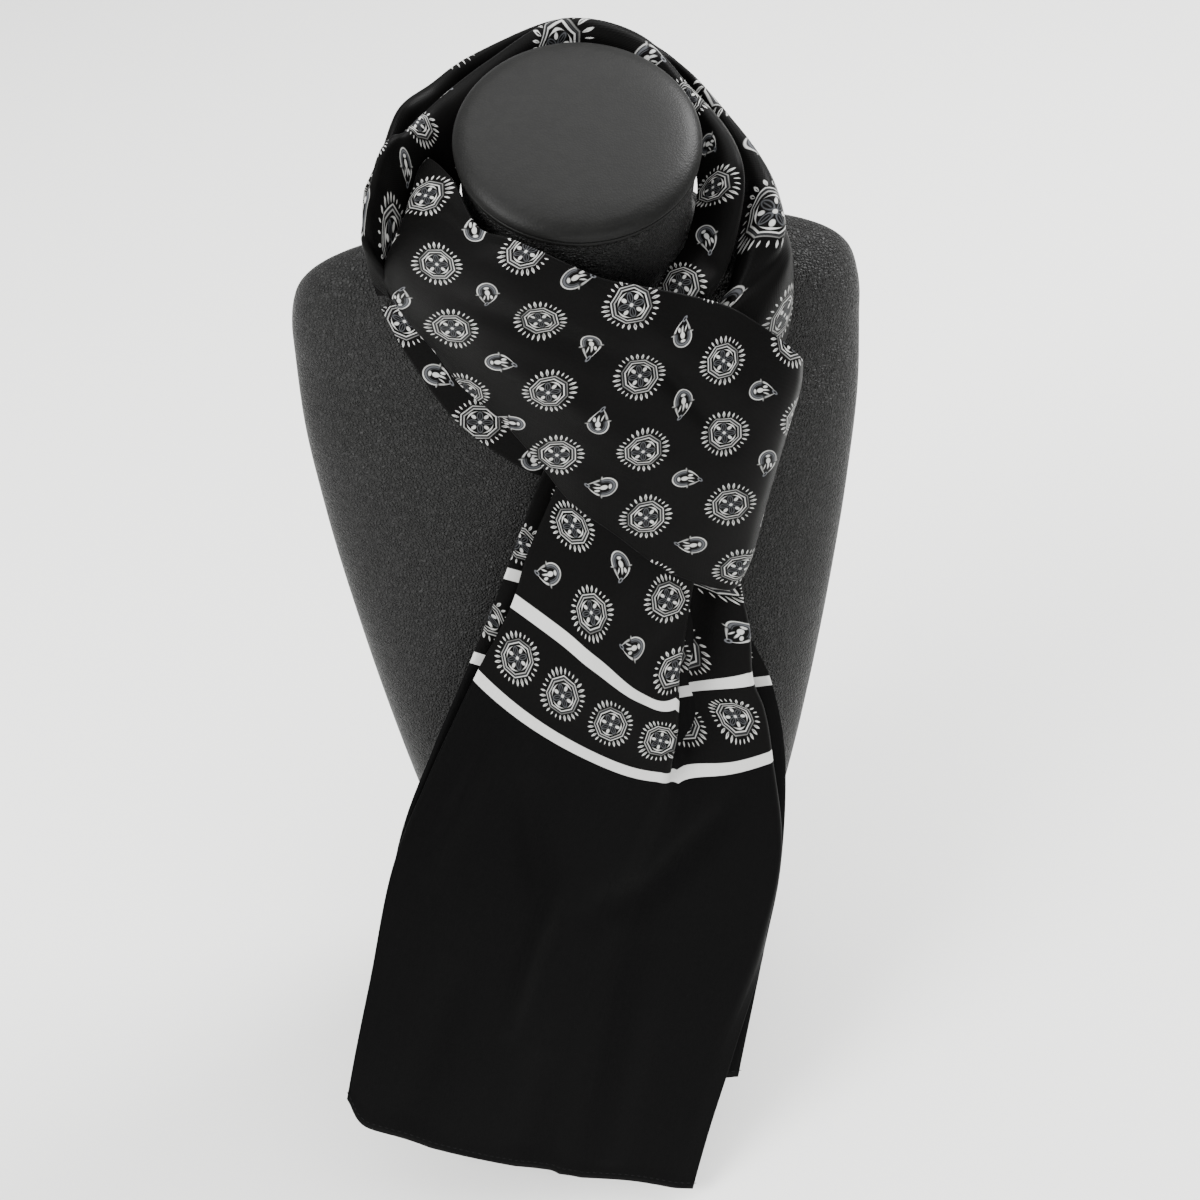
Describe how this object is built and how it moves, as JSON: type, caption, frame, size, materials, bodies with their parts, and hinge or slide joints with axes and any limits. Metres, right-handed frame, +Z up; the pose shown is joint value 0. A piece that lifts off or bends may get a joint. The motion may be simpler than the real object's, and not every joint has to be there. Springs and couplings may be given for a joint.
{
  "type": "printed scarf on a display bust",
  "caption": "Long narrow printed scarf folded double and looped round the neck of a limbless leatherette display bust, its two ends hanging down the front.",
  "frame": {"origin": "middle of the bust's flat foot, on the floor", "axes": "+Z up the standing bust, the chest and the scarf's tails face -Y, the wearer's left is +X"},
  "size_m": [0.2486, 0.2782, 0.4696],
  "materials": {
    "printed_cloth": "smooth woven cloth, soft sheen, printed in white and grey on black",
    "leatherette": "dark grey leatherette, fine grain, satin"
  },
  "bodies": {
    "root": {"bust_body": "leatherette", "neck_cap": "leatherette", "tail_front": "printed_cloth", "tail_back": "printed_cloth", "loop_top_leaf": "printed_cloth", "loop_under_leaf": "printed_cloth", "neck_band_inner": "printed_cloth", "neck_band_outer": "printed_cloth"}
  },
  "joints": []
}
